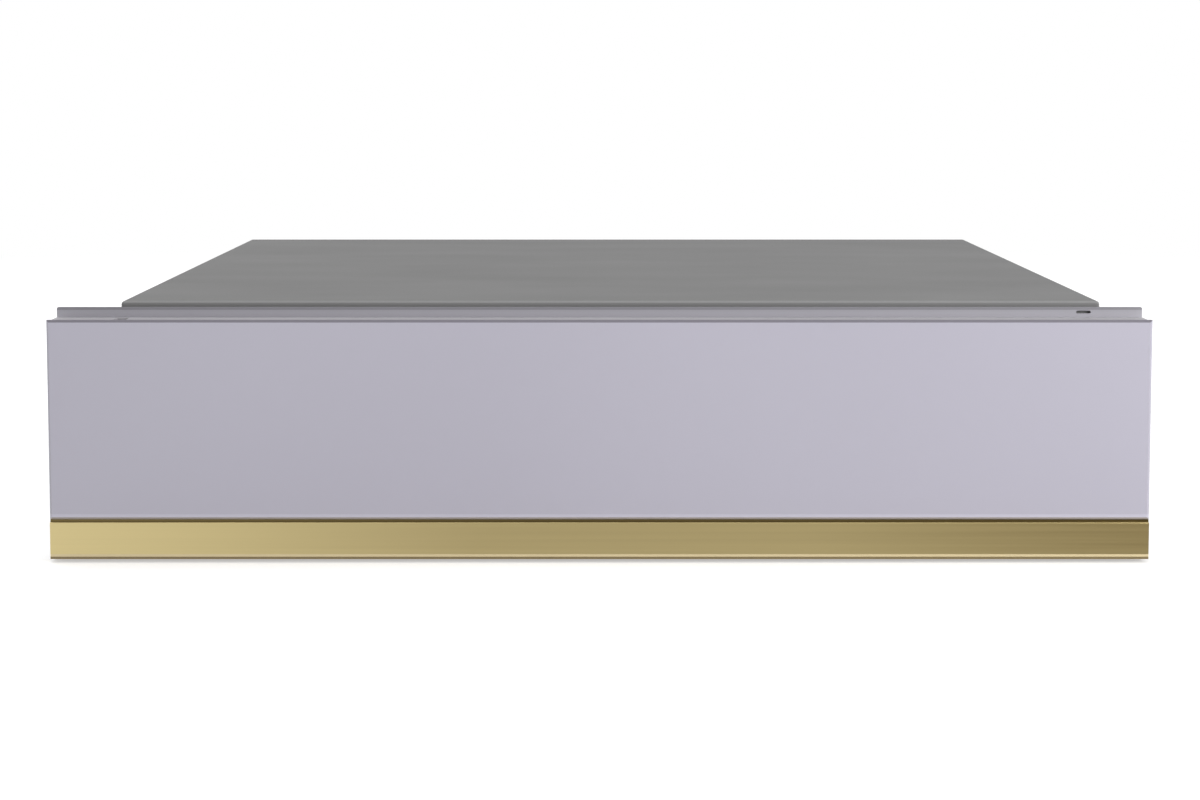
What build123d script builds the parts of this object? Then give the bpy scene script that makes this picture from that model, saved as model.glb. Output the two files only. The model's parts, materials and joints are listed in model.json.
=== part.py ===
"""Warming drawer for a 14 cm kitchen niche: a glass-fronted, push-to-open drawer on ball slides,
in a folded sheet casing with a hot-air fan at the back. Millimetres; +X right, +Y to the back, +Z up.
The origin is under the middle of the whole object, on the surface that it stands on."""

from build123d import *
import math
import os

# ------------------------------------------------------------------ front
front_width = 595.0
front_thickness = 20.0
front_bottom = 2.0  # the front's lower edge above the shelf
glass_height = 108.3
glass_thickness = 4.0
glass_chamfer = 1.2
trim_height = 20.1
trim_gap = 1.6  # shadow groove between the glass and the metal strip's face
trim_groove_depth = 1.6
trim_thickness = 4.0
trim_round = 1.6
trim_top_round = 0.4
trim_foot_depth = 13.0
trim_foot_sheet = 1.4
trim_hook = 1.6
bond_thickness = 1.0  # adhesive between the glass and its carrier
bond_width = 14.0
bond_inset = 6.0
carrier_sheet = 1.0
carrier_inset = 0.3
carrier_bend = 1.5
lining_flange = 9.0  # folded edge of the panel that closes the front
lining_fit = 0.1
service_slot_end_gap = 38.5  # from the front's left end, in its top edge
service_slot_width = 6.5
service_slot_length = 12.0
service_slot_inset = 2.0

# ------------------------------------------------------------------ frame
push_gap = 3.5  # room to press the front in, which trips the latches
frame_margin = 1.0
frame_bottom = 4.0
frame_rise = 5.0  # the frame's top edge above the front's
frame_sheet = 1.5
frame_corner = 1.0
window_sill = 10.0
window_head = 11.0
window_corner = 3.0
frame_slot_end_gap = 32.0  # from the frame's right end
frame_slot_width = 8.0
frame_slot_height = 1.6
frame_slot_drop = 2.7  # below the frame's top edge
fixing_hole_radius = 2.25
fixing_inset = 7.5
fixing_spacing_z = 70.0

# ------------------------------------------------------------------ casing
casing_margin = 29.5  # the front stands this far past the casing on each side, on average
casing_shift = 6.0  # the casing sits this far to the right of the front's middle
casing_depth = 520.0
cover_rise = 8.0  # the cover's top above the front's
cover_flange = 12.0
cover_setback = 0.4
sheet = 1.0
sheet_fit = 0.2
bend = 2.0
floor_flange = 14.0
side_flange = 9.0
rear_inset = 13.0
rear_flange = 12.0
roof_drop = 10.9  # the cavity's roof below the cover's top
roof_setback = 1.0
insulation_fit = 0.1
insulation_side_gap = 1.0
machine_depth = 76.0  # from the air baffle to the rear panel

# ------------------------------------------------------------------ vents
vent_length = 34.0
vent_width = 3.6
vent_pitch = 9.0
vent_count = 7
vent_x = 75.0
side_vent_count = 4
side_vent_length = 46.0
side_vent_pitch = 7.0
grille_hole_radius = 4.0
grille_ring_count = 2  # round the middle hole, each with six holes more than the last
grille_ring_pitch = 14.0
outlet_length = 52.0
outlet_width = 6.0
outlet_count = 5
outlet_pitch = 16.0
outlet_x = 100.0

# ------------------------------------------------------------------ feet and fasteners
foot_height = 3.0
foot_radius = 11.0
foot_chamfer = 0.8
foot_plug_radius = 4.0
foot_plug_length = 5.0
foot_inset_x = 30.0
foot_inset_y = 35.0
rivet_radius = 2.4
rivet_head_radius = 4.2
rivet_head_height = 1.0
screw_radius = 1.8
screw_head_radius = 3.6
screw_head_height = 1.8
screw_length = 6.0
cover_screw_inset = 40.0
frame_screw_inset = 10.0
wall_screw_spacing = 50.0
front_screw_inset_x = 16.0
front_screw_inset_z = 20.0

# ------------------------------------------------------------------ slides
rail_height = 45.0
rail_width = 12.7
rail_sheet = 1.2
rail_setback = 2.0
rail_end_gap = 3.0
travel_loss = 20.0  # the slides' length less the drawer's travel
ball_radius = 2.0
ball_clearance = 0.05
groove_depth = 0.6
outer_track = 5.0  # from the casing's inner face to the outer rows of balls
inner_track = 9.0
outer_flange_reach = 8.3
middle_web = 2.4
middle_flange_reach = 12.0
inner_flange_start = 6.6
cage_sheet = 0.6
cage_strip = 0.8
cage_gap = 0.3
cage_margin = 1.5
inner_cage_web = 4.2
cage_hole_clearance = 0.1
cage_edge = 0.3
balls_per_track = 4
ball_end_inset = 12.0
rivet_end_inset = 34.0
bracket_thickness = 2.0
bracket_rise = 12.0
bracket_foot = 24.0
bracket_length = 380.0
bracket_screw_inset = 60.0

# ------------------------------------------------------------------ tray
tray_sheet = 1.0
tray_fold = 1.5
tray_clearance = 16.0  # above the casing's floor
tray_headroom = 16.0  # below the window's top, for the knob
tray_rim = 9.0
tray_wall_flange = 10.0
tray_back_gap = 6.0
control_depth = 42.0
tray_vent_length = 40.0
tray_vent_width = 5.0
tray_vent_count = 9
tray_vent_pitch = 50.0
tray_vent_drops = (16.0, 31.0)  # below the tray's top
mat_inset = 6.0
mat_base = 1.5
mat_rib = 0.9
mat_rib_width = 3.0
mat_rib_pitch = 12.0
mat_corner = 8.0

# ------------------------------------------------------------------ controls
fascia_thickness = 2.5
fascia_round = 0.8
control_inset = 97.0  # from the tray's right side to the control box's middle
control_box_width = 132.0
control_box_height = 46.0
control_box_wall = 2.0
control_fit = 1.0
knob_offset = -30.0  # from the control box's middle
knob_radius = 15.0
knob_round = 1.2
knob_height = 8.0
knob_skirt_radius = 17.0
knob_skirt_height = 1.6
knob_clearance = 0.4
knob_grooves = 18
knob_groove_radius = 1.5
pointer_width = 1.6
pointer_depth = 0.6
pointer_start = 4.0
pointer_end = 13.0
shaft_radius = 3.0
shaft_clearance = 0.05
shaft_grip = 6.0
shaft_seat = 9.0
thermostat_radius = 14.0
thermostat_height = 18.0
thermostat_round = 1.0
thermostat_collar = 2.0
thermostat_collar_radius = 7.0
thermostat_neck_radius = 5.0
rocker_offset = 18.0
rocker_length = 19.6
rocker_width = 10.6
rocker_rise = 2.6
rocker_sill = 2.0
rocker_belly = 7.2
rocker_gap = 0.5
rocker_tilt = 7.0
rocker_pin_radius = 1.2
rocker_pin_length = 2.0
rocker_pin_end_gap = 0.3
rocker_pivot_drop = 1.0
switch_wall = 1.4
switch_flange = 2.2
switch_flange_height = 1.2
switch_depth = 20.0
lens_offset = 44.0
lens_radius = 2.6
lens_flange_radius = 3.6
lens_rise = 0.8
lens_length = 12.0

# ------------------------------------------------------------------ fan, heater and motor
chamber_half_width = 150.0
chamber_depth = 32.0
chamber_sheet = 0.8
chamber_bend = 3.0
chamber_gap = 4.0
chamber_hole_radius = 10.0
impeller_radius = 46.0
impeller_hub_radius = 7.0
impeller_hub_round = 2.0
impeller_sheet = 1.0
impeller_depth = 14.0
impeller_setback = 6.0
impeller_blades = 12
blade_thickness = 1.0
blade_inner_radius = 26.0
blade_angle = 35.0
heater_radius = 3.2
heater_side_gap = 22.0  # from the chamber's wall to the tube's centreline
heater_edge_gap = 7.5
heater_corner = 26.0
heater_leg_spacing = 36.0
heater_leg_exit = 4.0
heater_leg_bend = 8.0
heater_inset = 14.0  # from the baffle to the tube's centreline
heater_hole_clearance = 0.2
motor_shaft_radius = 2.5
motor_shaft_end = 2.0
motor_bore_radius = 13.0
motor_air_gap = 0.4
stack_width = 62.0
stack_height = 50.0
stack_depth = 16.0
stack_corner = 3.0
core_height = 10.0
coil_radius = 12.0
coil_round = 5.0
coil_length = 30.0
coil_gap = 0.4
bridge_standoff = 8.0
bridge_sheet = 1.6
bridge_width = 14.0
bridge_inset = 1.0
bridge_leg = 6.0
bearing_radius = 9.0
bearing_depth = 4.4
cutout_radius = 8.0
cutout_height = 9.0
cutout_offset_x = -76.0
cutout_offset_z = 36.0
cutout_ear = 4.8
cutout_ear_sheet = 1.0
cutout_tab_spacing = 8.0
cutout_tab_width = 6.0
cutout_tab_sheet = 0.8
cutout_tab_length = 7.0

# ------------------------------------------------------------------ mains entry and control board
entry_inset = 64.0  # from the casing's left side to the cable entry
gland_offset_z = 18.0
gland_bore_radius = 4.0
gland_neck_radius = 8.0
gland_flange_radius = 11.5
gland_flange = 3.0
gland_nose = 6.0
gland_nose_radius = 6.5
gland_nose_chamfer = 1.2
gland_lip_radius = 9.0
gland_lip = 4.0
terminal_offset_z = -26.0
terminal_width = 44.0
terminal_height = 22.0
terminal_depth = 18.0
terminal_round = 1.5
terminal_poles = 3
terminal_hole_radius = 3.6
terminal_hole_depth = 9.0
board_width = 84.0
board_height = 70.0
board_sheet = 1.6
board_edge_gap = 11.0
board_boss_height = 6.0
board_boss_radius = 4.0
board_boss_inset = 6.0
relay_size = (16.0, 16.0, 30.0)
relay_offset = (-26.0, 4.0)
transformer_size = (30.0, 22.0, 30.0)
transformer_offset = (6.0, -6.0)
capacitor_radius = 6.0
capacitor_length = 18.0
capacitor_offset = (30.0, 12.0)

# ------------------------------------------------------------------ latches and drawer sensor
latch_inset = 46.0  # from the tray's side to the latch
latch_width = 26.0
latch_height = 34.0
latch_depth = 34.0
latch_round = 3.0
latch_ear = 9.0
latch_ear_sheet = 2.0
latch_wall = 3.0
plunger_radius = 4.5
plunger_clearance = 0.1
plunger_length = 26.0
plunger_cap_radius = 7.0
plunger_cap_height = 1.8
plunger_cap_chamfer = 0.8
plunger_hole_clearance = 1.0
spring_radius = 3.4
spring_bore_radius = 2.2
striker_size = 24.0
striker_round = 3.0
striker_thickness = 1.5
contact_gap = 0.3
sensor_spacing = 49.0  # from the left latch to the sensor
sensor_drop = 30.0
sensor_width = 22.0
sensor_height = 10.0
sensor_depth = 2.6
sensor_round = 1.5
magnet_width = 11.0
magnet_depth = 2.0

# ------------------------------------------------------------------ places worked out from the sizes
trim_top = front_bottom + trim_height
glass_bottom = trim_top + trim_gap
front_top = glass_bottom + glass_height
frame_top = front_top + frame_rise
cover_top = front_top + cover_rise
cover_under = cover_top - sheet
floor_top = foot_height + sheet
roof_bottom = cover_top - roof_drop
roof_top = roof_bottom + sheet
window_bottom = frame_bottom + window_sill
window_top = frame_top - window_head
tray_bottom = floor_top + tray_clearance
tray_top = window_top - tray_headroom
tray_floor_top = tray_bottom + tray_sheet
fascia_bottom = tray_top - fascia_thickness
rail_z = (tray_bottom + tray_top) / 2
fan_z = (floor_top + roof_bottom) / 2

total_depth = front_thickness + push_gap + frame_sheet + casing_depth
y_front = -total_depth / 2
y_carrier = y_front + glass_thickness + bond_thickness
y_front_back = y_front + front_thickness
y_frame = y_front_back + push_gap
y_casing = y_frame + frame_sheet
y_cover = y_casing + sheet + cover_setback
y_roof = y_cover + sheet + roof_setback
y_back = y_casing + casing_depth
y_rear_panel = y_back - rear_inset  # the rear panel's outer face
y_baffle = y_rear_panel - machine_depth  # the baffle's front face
y_baffle_back = y_baffle + sheet
y_chamber_back = y_baffle_back + chamber_depth
y_tray_back = y_baffle - tray_back_gap
y_rail = y_casing + rail_setback
y_tray_front = y_front_back + tray_sheet
y_divider = y_tray_front + control_depth
y_controls = y_tray_front + control_depth / 2

frame_width = front_width - 2 * frame_margin
casing_width = front_width - 2 * casing_margin
cover_half = casing_width / 2
side_outer = cover_half - sheet - sheet_fit
side_inner = side_outer - sheet
tray_half = side_inner - rail_width - bracket_thickness
left_inside = casing_shift - side_inner
right_inside = casing_shift + side_inner
tray_left = casing_shift - tray_half
tray_right = casing_shift + tray_half

rail_length = y_tray_back - rail_end_gap - y_rail
drawer_travel = rail_length - travel_loss
cage_length = rail_length - drawer_travel / 2 - 2 * cage_margin
groove_radius = ball_radius + ball_clearance
bump_radius = groove_radius + rail_sheet
outer_flange_face = rail_height / 2 - rail_sheet
outer_ball_z = outer_flange_face + groove_depth - groove_radius
middle_flange_top = outer_ball_z - groove_radius + groove_depth
middle_flange_face = middle_flange_top - rail_sheet
inner_ball_z = middle_flange_face + groove_depth - groove_radius
inner_flange_top = inner_ball_z - groove_radius + groove_depth

control_x = tray_right - control_inset
knob_x = control_x + knob_offset
rocker_x = control_x + rocker_offset
lens_x = control_x + lens_offset
rocker_pivot_z = tray_top - rocker_pivot_drop
latch_x = casing_shift - tray_half + latch_inset  # the left latch; the right one mirrors it
entry_x = left_inside + entry_inset
board_x = right_inside - board_edge_gap - board_width / 2
y_board = y_rear_panel - sheet - board_boss_height
impeller_back = y_chamber_back - chamber_sheet - impeller_setback
impeller_front = impeller_back - impeller_depth
y_stack = y_chamber_back + bridge_standoff
y_stack_back = y_stack + stack_depth
core_z = fan_z - stack_height / 2 - coil_radius - coil_gap

CASING_MIDDLE = Plane(origin=(casing_shift, 0, 0), z_dir=(1, 0, 0))
LEFT_RIGHT = (-1, 1)


# ------------------------------------------------------------------ helpers
def block(x0, x1, y0, y1, z0, z1):
    """A box between two opposite corners, given in any order."""
    size = (abs(x1 - x0), abs(y1 - y0), abs(z1 - z0))
    return Pos((x0 + x1) / 2, (y0 + y1) / 2, (z0 + z1) / 2) * Box(*size)


def rectangle(a0, a1, b0, b1):
    """A flat rectangle between two corners of the drawing plane."""
    return Pos((a0 + a1) / 2, (b0 + b1) / 2) * Rectangle(abs(a1 - a0), abs(b1 - b0))


def along_x(face, x0, x1):
    """Extrudes a face drawn in (y, z) from x0 to x1."""
    return extrude(Plane(origin=(x0, 0, 0), x_dir=(0, 1, 0), z_dir=(1, 0, 0)) * face, x1 - x0)


def along_y(face, y0, y1):
    """Extrudes a face drawn in (x, z) from y0 to y1."""
    return extrude(Plane(origin=(0, y1, 0), x_dir=(1, 0, 0), z_dir=(0, -1, 0)) * face, y1 - y0)


def along_z(face, z0, z1):
    """Extrudes a face drawn in (x, y) from z0 to z1."""
    return extrude(Pos(0, 0, z0) * face, z1 - z0)


def rod_x(radius, x0, x1, y, z):
    return Pos((x0 + x1) / 2, y, z) * Rot(0, 90, 0) * Cylinder(radius, abs(x1 - x0))


def rod_y(radius, x, y0, y1, z):
    return Pos(x, (y0 + y1) / 2, z) * Rot(90, 0, 0) * Cylinder(radius, abs(y1 - y0))


def rod_z(radius, x, y, z0, z1):
    return Pos(x, y, (z0 + z1) / 2) * Cylinder(radius, abs(z1 - z0))


def folded(points, thickness=sheet, radius=bend):
    """The section of a folded sheet along its middle line, with rounded bends."""
    return trace(FilletPolyline(*points, radius=radius), line_width=thickness)


def pan(x0, x1, y0, y1, z0, z1, thickness, radius, opening):
    """A pressed pan: a thin box with rounded folds, open towards the axis given."""
    outer = block(x0, x1, y0, y1, z0, z1)
    mouth = outer.faces().sort_by(opening)[-1]
    outer = fillet(outer.edges() - mouth.edges(), radius)
    t = thickness
    inner = block(x0 + t, x1 - t, y0 + t, y1 - t, z0 + t, z1 - t)
    mouth = inner.faces().sort_by(opening)[-1]
    inner = fillet(inner.edges() - mouth.edges(), radius - t)
    mouth = inner.faces().sort_by(opening)[-1]
    return outer - inner - extrude(mouth, 2 * t)


def mirrored(shape):
    """The same piece on the right-hand side of the casing."""
    return mirror(shape, about=CASING_MIDDLE)


def both_sides(shape):
    return [shape, mirrored(shape)]


def row(count, pitch):
    """Places of a centred row of copies."""
    return [(i - (count - 1) / 2) * pitch for i in range(count)]


def screw(length=screw_length):
    """A pan-head screw along Z whose head seats at the origin."""
    shank = rod_z(screw_radius, 0, 0, -length, 0)
    head = rod_z(screw_head_radius, 0, 0, 0, screw_head_height)
    return shank + chamfer(head.edges().sort_by(Axis.Z)[-1], screw_head_height / 2)


def screw_at(x, y, z, turn):
    """A screw whose head seats at a point; turn carries +Z to the head's side."""
    return Pos(x, y, z) * turn * screw()


def save(name, *pieces):
    """Writes one sub-part, made of one or more separate solids."""
    solids = [solid for piece in pieces for solid in piece.solids()]
    shape = Compound(children=solids) if len(solids) > 1 else solids[0]
    shape.label = name
    export_step(shape, f"parts/{name}.step")


HEAD_FRONT = Rot(90, 0, 0)
HEAD_BACK = Rot(-90, 0, 0)
HEAD_LEFT = Rot(0, -90, 0)
HEAD_RIGHT = Rot(0, 90, 0)


# ------------------------------------------------------------------ front
def make_front_glass():
    half = front_width / 2
    glass = block(-half, half, y_front, y_front + glass_thickness, glass_bottom, front_top)
    glass = chamfer(glass.faces().sort_by(Axis.Y)[0].edges(), glass_chamfer)
    save("front_glass", glass)

    low, high = glass_bottom + bond_inset, front_top - bond_inset
    edge = half - bond_inset
    beads = [
        block(-edge, edge, y_front + glass_thickness, y_carrier, z, z + bond_width)
        for z in (low, high - bond_width)
    ]
    for side in LEFT_RIGHT:
        beads.append(
            block(
                side * edge, side * (edge - bond_width), y_front + glass_thickness, y_carrier,
                low + bond_width, high - bond_width,
            )
        )
    save("glass_bond", *beads)


def make_trim_strip():
    """An extruded strip: a visible face, a lip behind the shadow groove, a seat on the carrier,
    and a foot that hooks under it."""
    face = rectangle(0, trim_thickness, 0, trim_height)
    foot = rectangle(0, trim_foot_depth, 0, trim_foot_sheet)
    hook_top = trim_foot_sheet + trim_hook
    hook = rectangle(trim_foot_depth - trim_foot_sheet, trim_foot_depth, 0, hook_top)
    seat = rectangle(trim_thickness, y_carrier - y_front, hook_top, trim_height / 2)
    lip_top = trim_height + trim_gap - lining_fit
    lip = rectangle(trim_groove_depth, trim_thickness, trim_height, lip_top)
    section = face + foot + hook + seat + lip
    nose, brow = section.vertices().sort_by(Axis.X)[:2].sort_by(Axis.Y)
    section = fillet(nose, trim_round)
    section = fillet(brow, trim_top_round)
    half = front_width / 2
    save("trim_strip", along_x(Pos(y_front, front_bottom) * section, -half, half))


def carrier_box():
    """Low and high corners of the pan behind the glass, across and up."""
    half = front_width / 2 - carrier_inset
    low = front_bottom + trim_foot_sheet + trim_hook + carrier_inset
    return half, low, front_top - carrier_inset


def make_front_carrier():
    """The pan that carries the glass, and the panel that closes it towards the tray."""
    half, low, high = carrier_box()
    carrier = pan(
        -half, half, y_carrier, y_front_back, low, high, carrier_sheet, carrier_bend, Axis.Y
    )
    save("front_carrier", carrier - service_slot())
    step = carrier_sheet + lining_fit
    lining = pan(
        -half + step, half - step, y_front_back - lining_flange, y_front_back,
        low + step, high - step, carrier_sheet, carrier_bend, -Axis.Y,
    )
    save("front_lining", lining - front_screw_holes())


def service_slot():
    """The slot in the front's top edge where its transit clip hooks in."""
    high = carrier_box()[2]
    end = y_front_back - service_slot_inset
    half = service_slot_width / 2
    x = service_slot_end_gap - front_width / 2
    return block(
        x - half, x + half, end - service_slot_length, end,
        high - 3 * carrier_sheet, high + carrier_sheet,
    )


def front_screw_places():
    """Where the tray's front wall is screwed to the front."""
    spread = tray_half - front_screw_inset_x
    heights = (tray_bottom + front_screw_inset_z, tray_top - front_screw_inset_z)
    return [(casing_shift + side * spread, z) for side in LEFT_RIGHT for z in heights]


def front_screw_holes():
    return [
        rod_y(screw_radius, x, y_front_back - 2 * carrier_sheet, y_tray_front + tray_sheet, z)
        for x, z in front_screw_places()
    ]


# ------------------------------------------------------------------ frame and casing
def make_front_frame():
    """The plate behind the front, screwed to the niche at its four holes."""
    middle_z = (window_bottom + window_top) / 2
    plate = Pos(0, (frame_bottom + frame_top) / 2) * RectangleRounded(
        frame_width, frame_top - frame_bottom, frame_corner
    )
    plate -= Pos(casing_shift, middle_z) * RectangleRounded(
        2 * side_inner, window_top - window_bottom, window_corner
    )
    slot_x = frame_width / 2 - frame_slot_end_gap
    plate -= Pos(slot_x, frame_top - frame_slot_drop) * SlotOverall(
        frame_slot_width, frame_slot_height
    )
    spread = frame_width / 2 - fixing_inset
    for side in LEFT_RIGHT:
        for offset in row(2, fixing_spacing_z):
            plate -= Pos(side * spread, middle_z + offset) * Circle(fixing_hole_radius)
    for x, z in frame_screw_places():
        plate -= Pos(x, z) * Circle(screw_radius)
    save("front_frame", along_y(plate, y_frame, y_casing))


def frame_screw_places():
    """The screws that hold the frame to the side panels' front flanges."""
    offset = side_outer + side_flange / 2
    heights = (window_bottom + frame_screw_inset, window_top - frame_screw_inset)
    return [(casing_shift + side * offset, z) for side in LEFT_RIGHT for z in heights]


def cover_screw_places():
    depths = (y_casing + cover_screw_inset, (y_casing + y_back) / 2, y_back - cover_screw_inset)
    return [(y, cover_top - cover_flange / 2) for y in depths]


def wall_screw_places():
    """Screws through the side panels into the flanges of the baffle and the rear panel."""
    depths = (y_baffle_back + rear_flange / 2, y_rear_panel - rear_flange / 2)
    return [(y, fan_z + offset) for y in depths for offset in row(2, wall_screw_spacing)]


def rivet_places():
    first, last = y_rail + rivet_end_inset, y_rail + rail_length - rivet_end_inset
    return [(y, rail_z) for y in (first, (first + last) / 2, last)]


def side_holes(places, radius):
    """Holes through both sides of the casing, and through what is fastened there."""
    reach = 2 * sheet + screw_length
    left = [rod_x(radius, left_inside - reach, left_inside + reach, y, z) for y, z in places]
    return left + [mirrored(hole) for hole in left]


def make_side_panels():
    """Side sheets with a flange behind the frame; the slides are riveted to them."""
    middle = casing_shift - side_outer + sheet / 2
    level = y_casing + sheet / 2
    section = folded(
        [
            (casing_shift - side_outer - side_flange, level),
            (middle, level),
            (middle, y_back - bend),
        ]
    )
    panel = along_z(section, foot_height, cover_top - bend)
    flange_top = cover_top - cover_flange - sheet_fit
    panel -= block(
        casing_shift - side_outer - side_flange, middle - sheet / 2 + sheet,
        y_casing, y_casing + bend + sheet, flange_top, cover_top,
    )
    panel -= side_holes(rivet_places(), rivet_radius)
    panel -= side_holes(cover_screw_places() + wall_screw_places(), screw_radius)
    vents_middle = (y_chamber_back + y_rear_panel - rear_flange) / 2
    for offset in row(side_vent_count, side_vent_pitch):
        slot = Pos(vents_middle + offset, fan_z) * SlotOverall(
            side_vent_length, vent_width, rotation=90
        )
        panel -= along_x(slot, middle - sheet, middle + sheet)
    for x, z in frame_screw_places():
        panel -= rod_y(screw_radius, x, y_casing - sheet, y_casing + 2 * sheet, z)
    save("left_side_panel", panel)
    save("right_side_panel", mirrored(panel))


def trough(flange_end, level, y0, y1):
    """A U-shaped sheet between the side panels, with its flanges against them."""
    edge = side_inner - sheet / 2
    section = folded(
        [
            (casing_shift - edge, flange_end),
            (casing_shift - edge, level),
            (casing_shift + edge, level),
            (casing_shift + edge, flange_end),
        ]
    )
    return along_y(section, y0, y1)


def make_floor_and_feet():
    """The floor sheet, and four plastic glides with plugs pressed through it."""
    floor = trough(foot_height + floor_flange, foot_height + sheet / 2, y_casing, y_back - sheet)
    feet = []
    for side in LEFT_RIGHT:
        for y in (y_casing + foot_inset_y, y_back - foot_inset_y):
            x = casing_shift + side * (side_inner - foot_inset_x)
            pad = rod_z(foot_radius, x, y, 0, foot_height)
            pad = chamfer(pad.edges().sort_by(Axis.Z)[0], foot_chamfer)
            plug = rod_z(foot_plug_radius, x, y, foot_height, foot_height + foot_plug_length)
            plug = chamfer(plug.edges().sort_by(Axis.Z)[-1], foot_chamfer)
            feet.append(pad + plug)
            floor -= rod_z(foot_plug_radius, x, y, 0, floor_top + sheet)
    save("casing_floor", floor)
    save("feet", *feet)


def make_top_cover():
    cover = pan(
        casing_shift - cover_half, casing_shift + cover_half, y_cover, y_back,
        cover_top - cover_flange, cover_top, sheet, bend, -Axis.Z,
    )
    save("top_cover", cover - side_holes(cover_screw_places(), screw_radius))


def make_roof():
    """The sheet over the drawer space, and the insulation that lies on it."""
    roof = trough(cover_under, roof_bottom + sheet / 2, y_roof, y_baffle)
    save("cavity_roof", roof - side_holes(cover_screw_places(), screw_radius))
    half = cover_half - screw_length - insulation_side_gap
    mat = block(
        casing_shift - half, casing_shift + half, y_roof, y_baffle,
        roof_top, cover_under - insulation_fit,
    )
    save("insulation_mat", fillet(mat.edges().filter_by(Axis.Z), bend))


def cross_sheet(level, flange_end, top):
    """A sheet across the casing with a flange against each side, cleared round the floor."""
    edge = side_inner - sheet / 2
    section = folded(
        [
            (casing_shift - edge, flange_end),
            (casing_shift - edge, level),
            (casing_shift + edge, level),
            (casing_shift + edge, flange_end),
        ]
    )
    shape = along_z(section, floor_top, top)
    corner = block(
        left_inside, left_inside + sheet + bend, level - sheet, flange_end,
        floor_top, foot_height + floor_flange + sheet_fit,
    )
    corner += block(
        left_inside, left_inside + sheet + bend, flange_end, level + sheet,
        floor_top, foot_height + floor_flange + sheet_fit,
    )
    return shape - both_sides(corner) - side_holes(wall_screw_places(), screw_radius)


def make_rear_panel():
    """The rear sheet, set in, with vents, the cable entry's hole and bosses for the board."""
    level = y_rear_panel - sheet / 2
    panel = cross_sheet(level, y_rear_panel - rear_flange, cover_under)
    vents = Sketch()
    for side in LEFT_RIGHT:
        for offset in row(vent_count, vent_pitch):
            vents += Pos(casing_shift + side * vent_x, fan_z + offset) * SlotOverall(
                vent_length, vent_width
            )
    vents += Pos(entry_x, fan_z + gland_offset_z) * Circle(gland_neck_radius)
    panel -= along_y(vents, y_rear_panel - 2 * sheet, y_rear_panel + sheet)
    for x, z in board_boss_places():
        panel += rod_y(board_boss_radius, x, y_board, y_rear_panel - sheet, z)
        panel -= rod_y(board_boss_radius - sheet, x, y_board + sheet, y_rear_panel, z)
    save("rear_panel", panel)


def board_boss_places():
    across = board_width / 2 - board_boss_inset
    up = board_height / 2 - board_boss_inset
    return [(board_x + sx * across, fan_z + sz * up) for sx in LEFT_RIGHT for sz in LEFT_RIGHT]


def make_casing_screws():
    screws = [screw_at(x, y_frame, z, HEAD_FRONT) for x, z in frame_screw_places()]
    for y, z in cover_screw_places():
        screws += both_sides(screw_at(casing_shift - cover_half, y, z, HEAD_LEFT))
    for y, z in wall_screw_places():
        screws += both_sides(screw_at(casing_shift - side_outer, y, z, HEAD_LEFT))
    save("casing_screws", *screws)


# ------------------------------------------------------------------ slides
def track_bump(u, ball_z, u_from, z_from, z_to):
    """The formed metal behind a ball groove, at the upper and the lower track."""
    disc = Pos(u, ball_z) * Circle(bump_radius)
    upper = disc & rectangle(u_from, u + bump_radius, z_from, z_to)
    return upper + mirror(upper, about=Plane.XZ)


def track_groove(u, ball_z):
    groove = Pos(u, ball_z) * Circle(groove_radius)
    return groove + mirror(groove, about=Plane.XZ)


def channel(u0, u1, half_height, web_first):
    """A C section between u0 and u1, with its web at the start or the end."""
    shape = rectangle(u0, u1, -half_height, half_height)
    inside = half_height - rail_sheet
    step = rail_sheet if web_first else -rail_sheet
    return shape - rectangle(u0 + step, u1 + step, -inside, inside)


def rail(section, y0, length):
    """A slide member from its section, drawn from the casing's left inner face."""
    return along_y(Pos(left_inside, rail_z) * section, y0, y0 + length)


def bracket_screw_places():
    return [
        (y, rail_z)
        for y in (y_rail + bracket_screw_inset, y_rail + rail_length - bracket_screw_inset)
    ]


def make_slides():
    """Three members a side: one on the casing, one between, and one on the drawer."""
    outer = channel(0, outer_flange_reach, rail_height / 2, True)
    outer += track_bump(outer_track, outer_ball_z, 0, outer_flange_face, rail_height)
    outer -= track_groove(outer_track, outer_ball_z)
    outer_rail = rail(outer, y_rail, rail_length) - side_holes(rivet_places(), rivet_radius)
    save("fixed_rails", *both_sides(outer_rail))

    middle = channel(middle_web, middle_flange_reach, middle_flange_top, True)
    middle += track_bump(outer_track, outer_ball_z, middle_web, 0, middle_flange_top)
    middle += track_bump(inner_track, inner_ball_z, middle_web, middle_flange_face, rail_height)
    middle -= track_groove(outer_track, outer_ball_z)
    middle -= track_groove(inner_track, inner_ball_z)
    middle_rail = rail(middle, y_rail, rail_length)
    save("left_middle_rail", middle_rail)
    save("right_middle_rail", mirrored(middle_rail))

    inner = channel(inner_flange_start, rail_width, inner_flange_top, False)
    inner += track_bump(inner_track, inner_ball_z, inner_flange_start, 0, inner_flange_top)
    inner -= track_groove(inner_track, inner_ball_z)
    inner_rail = rail(inner, y_rail, rail_length) - bracket_holes()
    save("drawer_rails", *both_sides(inner_rail))


def bracket_holes():
    web = left_inside + rail_width - rail_sheet
    through = rail_sheet + bracket_thickness
    return [
        rod_x(screw_radius, web - sheet, web + through + sheet, y, z)
        for y, z in bracket_screw_places()
    ]


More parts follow.
